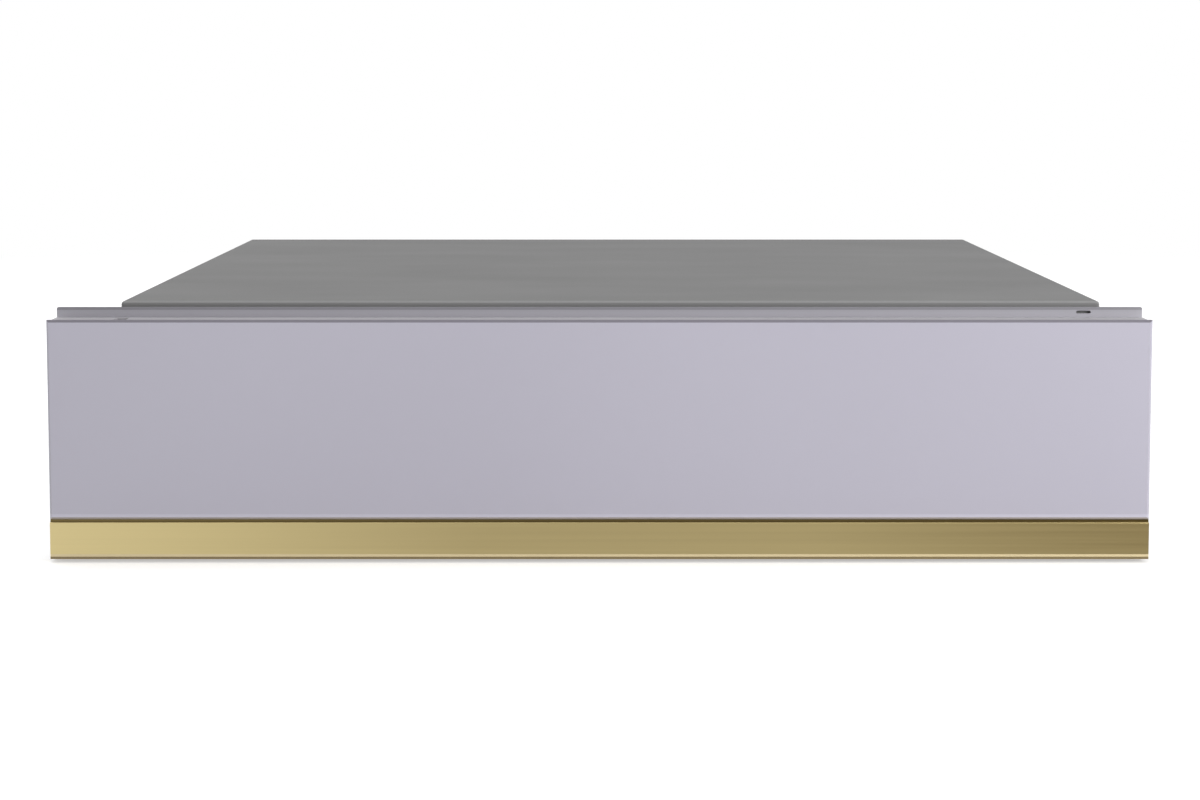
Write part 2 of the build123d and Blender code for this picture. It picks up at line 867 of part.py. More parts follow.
def ball_cage(web, track, ball_z):
    """A bent strip that keeps the balls of one pair of members apart, and those balls."""
    reach = track + ball_radius + cage_hole_clearance + cage_edge
    top = ball_z + cage_strip / 2
    section = rectangle(web, reach, -top, top)
    section -= rectangle(web + cage_sheet, reach + cage_sheet, cage_strip - top, top - cage_strip)
    # with the drawer out, the strip has moved to the front end of the members' overlap
    y0 = y_rail + cage_margin + drawer_travel / 4
    cage = rail(section, y0, cage_length)
    balls = []
    x = left_inside + track
    pitch = (cage_length - 2 * ball_end_inset) / (balls_per_track - 1)
    for offset in row(balls_per_track, pitch):
        y = y0 + cage_length / 2 + offset
        for side in LEFT_RIGHT:
            z = rail_z + side * ball_z
            hole = ball_radius + cage_hole_clearance
            cage -= rod_z(hole, x, y, z - cage_strip, z + cage_strip)
            balls.append(Pos(x, y, z) * Sphere(ball_radius))
    return [cage] + balls


def make_ball_cages():
    outer = ball_cage(rail_sheet + cage_gap, outer_track, outer_ball_z)
    inner = ball_cage(inner_cage_web, inner_track, inner_ball_z)
    for name, cage in (("outer_cage", outer), ("inner_cage", inner)):
        save(f"left_{name}", *cage)
        save(f"right_{name}", *[mirrored(piece) for piece in cage])


def make_rail_rivets():
    outside = left_inside - sheet
    rivets = []
    for y, z in rivet_places():
        shank = rod_x(rivet_radius, outside, left_inside + rail_sheet, y, z)
        head = rod_x(rivet_head_radius, outside - rivet_head_height, outside, y, z)
        head = chamfer(head.edges().sort_by(Axis.X)[0], rivet_head_height / 2)
        rivets += both_sides(shank + head)
    save("rail_rivets", *rivets)


def make_tray_brackets():
    """Angles that join the tray to the drawer members of the slides."""
    inside = left_inside + rail_width
    middle = inside + bracket_thickness / 2
    under = tray_bottom - bracket_thickness / 2
    section = folded(
        [(middle, rail_z + bracket_rise), (middle, under), (inside + bracket_foot, under)],
        bracket_thickness,
        bracket_thickness,
    )
    bracket = along_y(section, y_tray_front, y_tray_front + bracket_length)
    save("tray_brackets", *both_sides(bracket - bracket_holes()))


def make_drawer_screws():
    screws = [screw_at(x, y_tray_front, z, HEAD_BACK) for x, z in front_screw_places()]
    web = left_inside + rail_width - rail_sheet
    length = rail_sheet + bracket_thickness
    for y, z in bracket_screw_places():
        screws += both_sides(Pos(web, y, z) * HEAD_LEFT * screw(length))
    save("drawer_screws", *screws)


# ------------------------------------------------------------------ tray
def make_tray_shell():
    """One folded sheet: rim, side, floor, side, rim."""
    t = tray_sheet
    rim = tray_top - t / 2
    level = tray_bottom + t / 2
    left, right = tray_left + t / 2, tray_right - t / 2
    section = folded(
        [
            (tray_left - tray_rim, rim), (left, rim), (left, level),
            (right, level), (right, rim), (tray_right + tray_rim, rim),
        ],
        t,
        tray_fold,
    )
    save("tray_shell", along_y(section, y_front_back, y_tray_back))


def tray_wall(y0, flange, top):
    """A wall across the tray, cleared round the floor's fold. A flange lies against each side,
    and a wall with no flange is welded along its edges."""
    t = tray_sheet
    left, right = tray_left + t, tray_right - t
    wall = block(left, right, y0, y0 + t, tray_floor_top, top)
    if flange:
        for x in (left, right - t):
            wall += block(x, x + t, y0, y0 + flange, tray_floor_top, top)
    reach = abs(flange) + t
    for x in (left, right):
        wall -= block(
            x - tray_fold, x + tray_fold, y0 - reach, y0 + reach,
            tray_floor_top, tray_floor_top + tray_fold,
        )
    return wall


def make_tray_walls():
    front = tray_wall(y_front_back, tray_wall_flange, fascia_bottom)
    save("tray_front_wall", front - front_screw_holes())
    save("tray_divider", tray_wall(y_divider, -tray_wall_flange, fascia_bottom))
    vents = Sketch()
    for drop in tray_vent_drops:
        for offset in row(tray_vent_count, tray_vent_pitch):
            vents += Pos(casing_shift + offset, tray_top - drop) * SlotOverall(
                tray_vent_length, tray_vent_width
            )
    rear = tray_wall(y_tray_back - tray_sheet, 0, tray_top)
    rear -= along_y(vents, y_tray_back - 2 * tray_sheet, y_tray_back + tray_sheet)
    save("tray_rear_wall", rear)


def make_mat():
    """The ribbed silicone mat that keeps plates from sliding."""
    half = tray_half - tray_sheet - mat_inset
    y0 = y_divider + tray_sheet + mat_inset
    y1 = y_tray_back - tray_sheet - tray_wall_flange
    middle = (y0 + y1) / 2
    outline = Pos(casing_shift, middle) * RectangleRounded(2 * half, y1 - y0, mat_corner)
    top = tray_floor_top + mat_base
    mat = along_z(outline, tray_floor_top, top)
    rib_half = half - mat_corner
    count = int((y1 - y0 - 2 * mat_corner) // mat_rib_pitch)
    for offset in row(count, mat_rib_pitch):
        y = middle + offset
        mat += block(
            casing_shift - rib_half, casing_shift + rib_half,
            y - mat_rib_width / 2, y + mat_rib_width / 2, top, top + mat_rib,
        )
    save("anti_slip_mat", mat)


# ------------------------------------------------------------------ controls
def make_control_fascia():
    t = tray_sheet
    fascia = block(
        tray_left + t, tray_right - t, y_front_back, y_divider + t, fascia_bottom, tray_top
    )
    fascia = fillet(fascia.faces().sort_by(Axis.Z)[-1].edges(), fascia_round)
    fascia -= rod_z(thermostat_neck_radius, knob_x, y_controls, fascia_bottom - t, tray_top + t)
    fascia -= rod_z(lens_radius, lens_x, y_controls, fascia_bottom - t, tray_top + t)
    half_length, half_width = switch_half_size()
    fascia -= block(
        rocker_x - half_length, rocker_x + half_length,
        y_controls - half_width, y_controls + half_width, fascia_bottom - t, tray_top + t,
    )
    save("control_fascia", fascia)


def switch_half_size():
    """Half the length and half the width of the switch body."""
    around = rocker_gap + switch_wall
    return rocker_length / 2 + around, rocker_width / 2 + around


def make_control_box():
    """The tub under the fascia that encloses the thermostat and the switch."""
    wall = control_box_wall
    half_width = control_box_width / 2
    half_depth = control_depth / 2 - control_fit
    bottom = fascia_bottom - control_box_height
    box = block(
        control_x - half_width, control_x + half_width,
        y_controls - half_depth, y_controls + half_depth, bottom, fascia_bottom,
    )
    hollow = block(
        control_x - half_width + wall, control_x + half_width - wall,
        y_controls - half_depth + wall, y_controls + half_depth - wall,
        bottom + wall, fascia_bottom + wall,
    )
    box = fillet(box.edges().filter_by(Axis.Z), 2 * wall)
    save("control_box", box - fillet(hollow.edges().filter_by(Axis.Z), wall))


def make_thermostat_and_knob():
    """The thermostat under the fascia, its shaft, and the knob on the shaft."""
    top = fascia_bottom - thermostat_collar
    bottom = top - thermostat_height
    body = fillet(
        rod_z(thermostat_radius, knob_x, y_controls, bottom, top).edges(), thermostat_round
    )
    body += rod_z(thermostat_collar_radius, knob_x, y_controls, top, fascia_bottom)
    body += rod_z(thermostat_neck_radius, knob_x, y_controls, fascia_bottom, tray_top)
    seat = top - shaft_seat
    bore = shaft_radius + shaft_clearance
    save("thermostat", body - rod_z(bore, knob_x, y_controls, seat, tray_top + shaft_seat))

    knob_bottom = tray_top + knob_clearance
    shaft_top = knob_bottom + shaft_grip
    shaft = rod_z(shaft_radius, knob_x, y_controls, seat + shaft_clearance, shaft_top)
    save("thermostat_shaft", shaft)

    knob_top = knob_bottom + knob_height
    skirt_top = knob_bottom + knob_skirt_height
    grip = rod_z(knob_radius, knob_x, y_controls, knob_bottom, knob_top)
    knob = fillet(grip.edges().sort_by(Axis.Z)[-1], knob_round)
    centre_distance = knob_radius + knob_groove_radius / 2
    for i in range(knob_grooves):
        angle = 2 * math.pi * i / knob_grooves
        x = knob_x + centre_distance * math.cos(angle)
        y = y_controls + centre_distance * math.sin(angle)
        knob -= rod_z(knob_groove_radius, x, y, skirt_top, knob_top + knob_round)
    knob += rod_z(knob_skirt_radius, knob_x, y_controls, knob_bottom, skirt_top)
    knob -= block(
        knob_x - pointer_width / 2, knob_x + pointer_width / 2,
        y_controls - pointer_end, y_controls - pointer_start,
        knob_top - pointer_depth, knob_top + pointer_depth,
    )
    knob -= rod_z(shaft_radius, knob_x, y_controls, knob_bottom - shaft_grip, shaft_top)
    save("temperature_knob", knob)


def make_switch():
    """A rocker switch: the body with its bezel and pins, and the rocker tilted to off."""
    half_length, half_width = switch_half_size()
    bezel_top = tray_top + switch_flange_height
    bezel = block(
        rocker_x - half_length - switch_flange, rocker_x + half_length + switch_flange,
        y_controls - half_width - switch_flange, y_controls + half_width + switch_flange,
        tray_top, bezel_top,
    )
    bezel = chamfer(bezel.faces().sort_by(Axis.Z)[-1].edges(), switch_flange_height / 2)
    body = block(
        rocker_x - half_length, rocker_x + half_length,
        y_controls - half_width, y_controls + half_width, tray_top - switch_depth, tray_top,
    )
    well_length, well_width = half_length - switch_wall, half_width - switch_wall
    body += bezel
    body -= block(
        rocker_x - well_length, rocker_x + well_length,
        y_controls - well_width, y_controls + well_width,
        tray_top - switch_depth + switch_wall, bezel_top + switch_wall,
    )
    for side in LEFT_RIGHT:
        body += rod_y(
            rocker_pin_radius, rocker_x, y_controls + side * well_width,
            y_controls + side * (well_width - rocker_pin_length), rocker_pivot_z,
        )
    save("switch_body", body)

    half = rocker_length / 2
    rise = rocker_rise + half * math.tan(math.radians(rocker_tilt))
    profile = make_face(
        Polyline(
            (-half, rise), (0, rocker_rise), (half, rise),
            (half, -rocker_sill), (-half, -rocker_sill), close=True,
        )
    )
    profile += Circle(rocker_belly) & rectangle(-half, half, -rocker_belly, 0)
    rocker = along_y(profile, y_controls - rocker_width / 2, y_controls + rocker_width / 2)
    blind = rocker_pin_length - rocker_gap + rocker_pin_end_gap
    for side in LEFT_RIGHT:
        face = y_controls + side * rocker_width / 2
        rocker -= rod_y(rocker_pin_radius + shaft_clearance, 0, face, face - side * blind, 0)
    save("power_rocker", Pos(rocker_x, 0, rocker_pivot_z) * Rot(0, rocker_tilt, 0) * rocker)


def make_lens():
    stem = rod_z(lens_radius, lens_x, y_controls, tray_top - lens_length, tray_top)
    cap = rod_z(lens_flange_radius, lens_x, y_controls, tray_top, tray_top + lens_rise)
    save("indicator_lens", stem + chamfer(cap.edges().sort_by(Axis.Z)[-1], lens_rise / 2))


# ------------------------------------------------------------------ air system
def make_baffle():
    """The wall behind the tray: grille over the fan, outlets each side, holes for the latches."""
    baffle = cross_sheet(y_baffle + sheet / 2, y_baffle_back + rear_flange, roof_bottom)
    holes = Sketch()
    for ring in range(grille_ring_count + 1):
        radius = ring * grille_ring_pitch
        count = max(1, 6 * ring)
        for i in range(count):
            angle = 2 * math.pi * i / count
            x = casing_shift + radius * math.cos(angle)
            holes += Pos(x, fan_z + radius * math.sin(angle)) * Circle(grille_hole_radius)
    for side in LEFT_RIGHT:
        for offset in row(outlet_count, outlet_pitch):
            holes += Pos(casing_shift + side * outlet_x, fan_z + offset) * SlotOverall(
                outlet_length, outlet_width
            )
        x = casing_shift + side * (casing_shift - latch_x)
        holes += Pos(x, rail_z) * Circle(plunger_cap_radius + plunger_hole_clearance)
    save("air_baffle", baffle - along_y(holes, y_baffle - sheet, y_baffle_back + sheet))


def make_fan_chamber():
    """A pressed pan behind the baffle that holds the fan wheel and the heating element."""
    chamber = pan(
        casing_shift - chamber_half_width, casing_shift + chamber_half_width,
        y_baffle_back, y_chamber_back, floor_top + chamber_gap, roof_bottom - chamber_gap,
        chamber_sheet, chamber_bend, -Axis.Y,
    )
    back = (y_chamber_back - 2 * chamber_sheet, y_chamber_back + chamber_sheet)
    chamber -= rod_y(chamber_hole_radius, casing_shift, *back, fan_z)
    for x in heater_leg_places():
        chamber -= rod_y(heater_radius + heater_hole_clearance, x, *back, heater_low())
    save("fan_chamber", chamber)


def heater_leg_places():
    right = casing_shift + chamber_half_width - heater_side_gap
    last = right - heater_corner - heater_leg_spacing / 2
    return [last - heater_leg_spacing, last]


def heater_low():
    return floor_top + chamber_gap + heater_edge_gap


def make_heater():
    """One tubular element that runs round the fan wheel and out through the chamber's back."""
    y = y_baffle_back + heater_inset
    left = casing_shift - chamber_half_width + heater_side_gap
    right = casing_shift + chamber_half_width - heater_side_gap
    low = heater_low()
    high = roof_bottom - chamber_gap - heater_edge_gap
    leg_a, leg_b = heater_leg_places()
    y_end = y_chamber_back + heater_leg_exit
    corners = [
        (leg_a, y_end, low), (leg_a, y, low), (left, y, low), (left, y, high),
        (right, y, high), (right, y, low), (leg_b, y, low), (leg_b, y_end, low),
    ]
    radii = [heater_leg_bend] + 4 * [heater_corner] + [heater_leg_bend]
    path = FilletPolyline(*corners, radius=radii)
    section = Plane(origin=corners[0], z_dir=(0, -1, 0)) * Circle(heater_radius)
    save("heating_element", sweep(section, path=path))


def make_impeller():
    """A radial wheel: back disc, hub and backward-leaning blades."""
    disc = rod_y(impeller_radius, casing_shift, impeller_back - impeller_sheet, impeller_back, fan_z)
    hub = rod_y(impeller_hub_radius, casing_shift, impeller_front, impeller_back, fan_z)
    hub = fillet(hub.edges().sort_by(Axis.Y)[0], impeller_hub_round)
    reach = (impeller_radius - blade_inner_radius) / math.cos(math.radians(blade_angle / 2))
    blade = rectangle(0, reach, -blade_thickness / 2, blade_thickness / 2)
    blades = Sketch()
    for i in range(impeller_blades):
        turn = 360 / impeller_blades * i
        blades += Rot(0, 0, turn) * Pos(blade_inner_radius, 0) * Rot(0, 0, -blade_angle) * blade
    blades = Pos(casing_shift, fan_z) * (blades & Circle(impeller_radius))
    wheel = disc + hub + along_y(blades, impeller_front, impeller_back - impeller_sheet)
    wheel -= rod_y(
        motor_shaft_radius, casing_shift, impeller_front - impeller_sheet,
        impeller_back + impeller_sheet, fan_z,
    )
    save("fan_impeller", wheel)


def bearing_bridge(face, direction):
    """A strap across the motor, legs that stand it off the stack, and a bearing boss."""
    x = casing_shift
    half = stack_width / 2 - bridge_inset
    low, high = fan_z - bridge_width / 2, fan_z + bridge_width / 2
    inner = face + direction * bridge_sheet
    shape = block(x - half, x + half, face, inner, low, high)
    for side in LEFT_RIGHT:
        shape += block(
            x + side * half, x + side * (half - bridge_leg),
            inner, face + direction * bridge_standoff, low, high,
        )
    shape += rod_y(bearing_radius, x, inner, inner + direction * bearing_depth, fan_z)
    bore = motor_shaft_radius + shaft_clearance
    far = face + direction * 2 * bridge_standoff
    return shape - rod_y(bore, x, face - direction * bridge_sheet, far, fan_z)


def make_motor():
    """A shaded-pole motor: laminated stack, coil, two bearing bridges, rotor and shaft."""
    x = casing_shift
    half = stack_width / 2
    stack = block(
        x - half, x + half, y_stack, y_stack_back,
        fan_z - stack_height / 2, fan_z + stack_height / 2,
    )
    stack = fillet(stack.edges().filter_by(Axis.Y), stack_corner)
    stack -= rod_y(motor_bore_radius, x, y_stack - sheet, y_stack_back + sheet, fan_z)
    limb_half = coil_length / 2 + coil_gap
    yoke_top = fan_z - stack_height / 2 + stack_corner
    yoke = block(x - half, x + half, y_stack, y_stack_back, core_z - core_height / 2, yoke_top)
    yoke -= block(
        x - limb_half, x + limb_half, y_stack, y_stack_back,
        core_z + core_height / 2, fan_z - stack_height / 2,
    )
    save("motor_stack", stack + yoke)

    coil_y = (y_stack + y_stack_back) / 2
    coil = block(
        x - coil_length / 2, x + coil_length / 2, coil_y - coil_radius, coil_y + coil_radius,
        core_z - coil_radius, core_z + coil_radius,
    )
    coil = fillet(coil.edges().filter_by(Axis.X), coil_round)
    core_half = core_height / 2 + coil_gap
    coil -= block(
        x - coil_length, x + coil_length, y_stack - coil_gap, y_stack_back + coil_gap,
        core_z - core_half, core_z + core_half,
    )
    save("motor_coil", coil)

    y_rear_bridge = y_stack_back + bridge_standoff
    save("bearing_bridges", bearing_bridge(y_chamber_back, 1), bearing_bridge(y_rear_bridge, -1))
    rotor = rod_y(motor_bore_radius - motor_air_gap, x, y_stack, y_stack_back, fan_z)
    rotor -= rod_y(motor_shaft_radius, x, y_stack - sheet, y_stack_back + sheet, fan_z)
    save("motor_rotor", rotor)
    shaft = rod_y(motor_shaft_radius, x, impeller_front, y_rear_bridge + motor_shaft_end, fan_z)
    save("fan_shaft", shaft)


def make_thermal_cutout():
    """The disc on the chamber's back that cuts the heater off if the fan fails."""
    x, z = casing_shift + cutout_offset_x, fan_z + cutout_offset_z
    cap_back = y_chamber_back + cutout_height
    cap = rod_y(cutout_radius, x, y_chamber_back, cap_back, z)
    cap = chamfer(cap.edges().sort_by(Axis.Y)[-1], cutout_ear_sheet)
    reach = cutout_radius + cutout_ear
    cap += block(
        x - reach, x + reach, y_chamber_back, y_chamber_back + cutout_ear_sheet,
        z - cutout_radius / 2, z + cutout_radius / 2,
    )
    for offset in row(2, cutout_tab_spacing):
        cap += block(
            x + offset - cutout_tab_sheet / 2, x + offset + cutout_tab_sheet / 2,
            cap_back, cap_back + cutout_tab_length,
            z - cutout_tab_width / 2, z + cutout_tab_width / 2,
        )
    save("thermal_cutout", cap)


# ------------------------------------------------------------------ mains entry and board
def make_gland():
    """A snap-in cable entry: flange and nose outside the rear panel, a lip behind it."""
    z = fan_z + gland_offset_z
    inside = y_rear_panel - sheet
    nose_start = y_rear_panel + gland_flange
    nose_end = nose_start + gland_nose
    nose = rod_y(gland_nose_radius, entry_x, nose_start, nose_end, z)
    gland = chamfer(nose.edges().sort_by(Axis.Y)[-1], gland_nose_chamfer)
    gland += rod_y(gland_flange_radius, entry_x, y_rear_panel, nose_start, z)
    gland += rod_y(gland_neck_radius, entry_x, inside, y_rear_panel, z)
    lip = rod_y(gland_lip_radius, entry_x, inside - gland_lip, inside, z)
    gland += chamfer(lip.edges().sort_by(Axis.Y)[0], gland_nose_chamfer)
    bore = rod_y(gland_bore_radius, entry_x, inside - 2 * gland_lip, nose_end + gland_lip, z)
    save("cable_gland", gland - bore)


def make_terminal_block():
    back = y_rear_panel - sheet
    front = back - terminal_depth
    z = fan_z + terminal_offset_z
    body = block(
        entry_x - terminal_width / 2, entry_x + terminal_width / 2, front, back,
        z - terminal_height / 2, z + terminal_height / 2,
    )
    body = fillet(body.edges().filter_by(Axis.Y), terminal_round)
    for offset in row(terminal_poles, terminal_width / terminal_poles):
        hole = rod_y(
            terminal_hole_radius, entry_x + offset, front - sheet, front + terminal_hole_depth, z
        )
        body -= hole
    save("terminal_block", body)


def make_board():
    """The control board on the rear panel's bosses, with its relay, transformer and capacitor."""
    face = y_board - board_sheet
    board = block(
        board_x - board_width / 2, board_x + board_width / 2, face, y_board,
        fan_z - board_height / 2, fan_z + board_height / 2,
    )
    for size, offset in ((relay_size, relay_offset), (transformer_size, transformer_offset)):
        x, z = board_x + offset[0], fan_z + offset[1]
        board += block(
            x - size[0] / 2, x + size[0] / 2, face - size[1], face, z - size[2] / 2, z + size[2] / 2
        )
    x, z = board_x + capacitor_offset[0], fan_z + capacitor_offset[1]
    board += rod_y(capacitor_radius, x, face - capacitor_length, face, z)
    save("control_board", board)


# ------------------------------------------------------------------ latches and sensor
def make_latches():
    """Push latches behind the baffle: body, sprung plunger and its spring, left and right."""
    x, z = latch_x, rail_z
    back = y_baffle_back + latch_depth
    body = block(
        x - latch_width / 2, x + latch_width / 2, y_baffle_back, back,
        z - latch_height / 2, z + latch_height / 2,
    )
    body = fillet(body.edges().filter_by(Axis.Y), latch_round)
    ear_half = latch_height / 2 + latch_ear
    body += block(
        x - latch_width / 2, x + latch_width / 2,
        y_baffle_back, y_baffle_back + latch_ear_sheet, z - ear_half, z + ear_half,
    )
    bore_end = back - latch_wall
    bore = plunger_radius + plunger_clearance
    body -= rod_y(bore, x, y_baffle_back - latch_wall, bore_end, z)
    save("latch_bodies", *both_sides(body))

    tip = y_tray_back + striker_thickness + contact_gap
    cap = rod_y(plunger_cap_radius, x, tip, tip + plunger_cap_height, z)
    plunger = chamfer(cap.edges().sort_by(Axis.Y)[0], plunger_cap_chamfer)
    plunger += rod_y(plunger_radius, x, tip + plunger_cap_height, tip + plunger_length, z)
    spring = rod_y(spring_radius, x, tip + plunger_length, bore_end, z)
    spring -= rod_y(spring_bore_radius, x, tip, bore_end + latch_wall, z)
    for name, piece in (("latch_plunger", plunger), ("latch_spring", spring)):
        save(f"left_{name}", piece)
        save(f"right_{name}", mirrored(piece))

    striker = block(
        x - striker_size / 2, x + striker_size / 2, y_tray_back, y_tray_back + striker_thickness,
        z - striker_size / 2, z + striker_size / 2,
    )
    save("latch_strikers", *both_sides(fillet(striker.edges().filter_by(Axis.Y), striker_round)))


def make_sensor():
    """A reed sensor on the baffle and the magnet on the tray that it reads."""
    x, z = latch_x + sensor_spacing, rail_z - sensor_drop
    low, high = z - sensor_height / 2, z + sensor_height / 2
    sensor = block(
        x - sensor_width / 2, x + sensor_width / 2, y_baffle - sensor_depth, y_baffle, low, high
    )
    magnet = block(
        x - magnet_width / 2, x + magnet_width / 2, y_tray_back, y_tray_back + magnet_depth,
        low, high,
    )
    save("drawer_sensor", fillet(sensor.edges().filter_by(Axis.Y), sensor_round))
    save("sensor_magnet", fillet(magnet.edges().filter_by(Axis.Y), sensor_round))


os.makedirs("parts", exist_ok=True)
for make in (
    make_front_glass, make_trim_strip, make_front_carrier, make_front_frame, make_side_panels,
    make_floor_and_feet, make_top_cover, make_roof, make_rear_panel, make_casing_screws,
    make_slides, make_ball_cages, make_rail_rivets, make_tray_brackets, make_drawer_screws,
    make_tray_shell, make_tray_walls, make_mat, make_control_fascia, make_control_box,
    make_thermostat_and_knob, make_switch, make_lens, make_baffle, make_fan_chamber,
    make_heater, make_impeller, make_motor, make_thermal_cutout, make_gland,
    make_terminal_block, make_board, make_latches, make_sensor,
):
    make()
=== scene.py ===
"""Looks of a built-in warming drawer: painted glass front, gold metal strip, grey sheet casing,
and a steel tray on ball slides behind them. Metres; +X right, +Y to the back, +Z up."""

import json
import math

import bmesh
import bpy
from mathutils import Matrix, Vector


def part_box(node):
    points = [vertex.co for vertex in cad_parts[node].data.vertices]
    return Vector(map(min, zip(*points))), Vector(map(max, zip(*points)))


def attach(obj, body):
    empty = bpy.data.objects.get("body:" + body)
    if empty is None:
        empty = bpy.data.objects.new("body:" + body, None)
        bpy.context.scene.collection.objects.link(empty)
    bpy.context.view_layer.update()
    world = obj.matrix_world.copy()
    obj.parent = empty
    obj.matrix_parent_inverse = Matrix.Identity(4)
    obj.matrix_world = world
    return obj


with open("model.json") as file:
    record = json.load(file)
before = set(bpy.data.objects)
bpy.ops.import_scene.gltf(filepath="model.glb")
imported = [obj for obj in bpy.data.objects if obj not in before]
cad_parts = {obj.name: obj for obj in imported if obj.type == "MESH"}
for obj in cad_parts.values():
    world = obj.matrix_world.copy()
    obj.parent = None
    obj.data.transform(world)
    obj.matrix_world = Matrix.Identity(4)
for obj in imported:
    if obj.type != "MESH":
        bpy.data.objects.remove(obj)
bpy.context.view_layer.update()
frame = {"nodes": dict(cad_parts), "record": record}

nodes = frame["nodes"]
scene = bpy.context.scene

MM = 0.001

# ------------------------------------------------------------------ camera and stage
CAMERA_PLACE = (0.0003, -1.6281, 0.2642)
CAMERA_PITCH = 5.2  # degrees below the horizon
CAMERA_LENS = 76.05
CAMERA_SHIFT = -0.08

FLOOR_HALF = 8.0
FLOOR_GREY = 0.75
FLOOR_GLOW = 0.45
FLOOR_PLAIN = (0.9, 2.2)  # the floor turns plain white between these distances
WORLD_AMBIENT = 0.55
BACKGROUND = 1.0

CARD_LEFT = (1.0, 1.0, 1.0)  # what the front's metal mirrors from left to right
CARD_RIGHT = (0.20, 0.165, 0.12)
CARD_STEPS = ((-0.33, -0.07, 0.58), (0.12, 0.34, 0.42))  # from x, to x, share of the fade
CARD_END = (-0.30, -0.22)  # on the floor the fade dies out between these depths
CARD_SPREAD = 0.3  # in the world it runs this far to either side, as a direction
CARD_START = (0.2, 0.5)  # and sets in between these directions towards the front

LAMPS = (  # name, place, what it points at, width, watts
    ("overhead", (-0.3, 0.1, 2.4), (0, 0, 0), 1.6, 20.0),
    ("right_front", (0.9, -1.2, 0.45), (0.2, -0.27, 0.07), 0.5, 9.0),
    ("back_left", (-1.5, 1.5, 0.45), (-0.1, 0.1, 0.06), 1.0, 13.0),
    ("back_right", (1.5, 1.5, 0.45), (0.1, 0.1, 0.06), 1.0, 13.0),
)

# ------------------------------------------------------------------ painted light and shade on the edges
FOLD_DEPTH = 4 * MM  # of the cover, from its front end
FOLD_FACING = (0.15, 0.85)  # the fold faces this far forward, and the lip below it further
# painted highlight on the cover's fold, and a little painted light on its lip
FOLD_HIGHLIGHT_TONE = 1.5
LIP_PAINTED_LIGHT_TONE = 1.15
FRAME_BAND = (5 * MM, 2 * MM)  # painted light turns the coat paler between these drops from the top
FRAME_PAINTED_LIGHT_TONE = 1.18
# painted shadow along the frame's upper rim, this deep and this dark
FRAME_RIM = 1.5 * MM
FRAME_RIM_SHADOW_TONE = 0.66
GLASS_EDGE_FACING = 0.3  # a ground edge that faces up or down more than this gets painted shade
# painted shade on the glass's upward-facing edge, and a duller one on its downward-facing edge
GLASS_UPPER_EDGE_SHADE = (0.20, 0.19, 0.22)
GLASS_LOWER_EDGE_SHADE = (0.45, 0.41, 0.39)
GLASS_LINE = (1.2 * MM, 2.9 * MM)  # heights of the painted highlight line above the glass's bottom
GLASS_HIGHLIGHT_TONE = 1.15
STRIP_GROOVE_DEPTH = 1.2 * MM  # the groove lies behind this depth and above this drop
STRIP_GROOVE_DROP = 1.7 * MM
# painted shade in the strip's groove
STRIP_GROOVE_SHADE = (0.17, 0.13, 0.055)
STRIP_LINE = (1.35 * MM, 2.7 * MM)  # heights of the painted highlight line above the strip's bottom
STRIP_HIGHLIGHT_COLOUR = (0.72, 0.60, 0.36)
# painted shade under the strip's rounded lower edge
STRIP_UNDER_EDGE_SHADE = (0.24, 0.18, 0.085)

# ------------------------------------------------------------------ marks and screw drives
MARK_HEIGHT = 0.04 * MM
MARK_WHITE = (0.72, 0.72, 0.70)
DIAL_TEXTS = ("0", "30", "40", "50", "60", "70", "80")
DIAL_STEP = 45.0  # degrees, clockwise from the front as seen from above
DIAL_RADIUS = 19.3 * MM
DIAL_TEXT_SIZE = 3.0 * MM
POINTER_START = 4.1 * MM
POINTER_END = 12.9 * MM
POINTER_HALF_WIDTH = 0.7 * MM
POINTER_DEPTH = 0.6 * MM
POINTER_FILL = 0.35 * MM
ROCKER_TILT = 7.0  # degrees
ROCKER_PIVOT_DROP = 1.0 * MM
ROCKER_RISE = 2.6 * MM
ROCKER_MARK_X = 5.6 * MM
ROCKER_MARK_SIZE = 5.0 * MM
# the drives are painted shade: flat dark stars on the screw heads
DRIVE_POINTS = 6
DRIVE_OUTER = 0.42  # shares of the head's radius
DRIVE_INNER = 0.30
HEAD_RIM = 0.9  # past this share of its radius, a corner belongs to the head's rim
MERGE_DISTANCE = 0.001 * MM

# ------------------------------------------------------------------ sheet metal and circuit board
ZINC_GREY = (0.17, 0.17, 0.17)
ZINC_ROUGHNESS = 0.62
ZINC_SHINE = 0.12
BOARD_SHEET = 1.7 * MM  # what stands in front of this is a part on the board


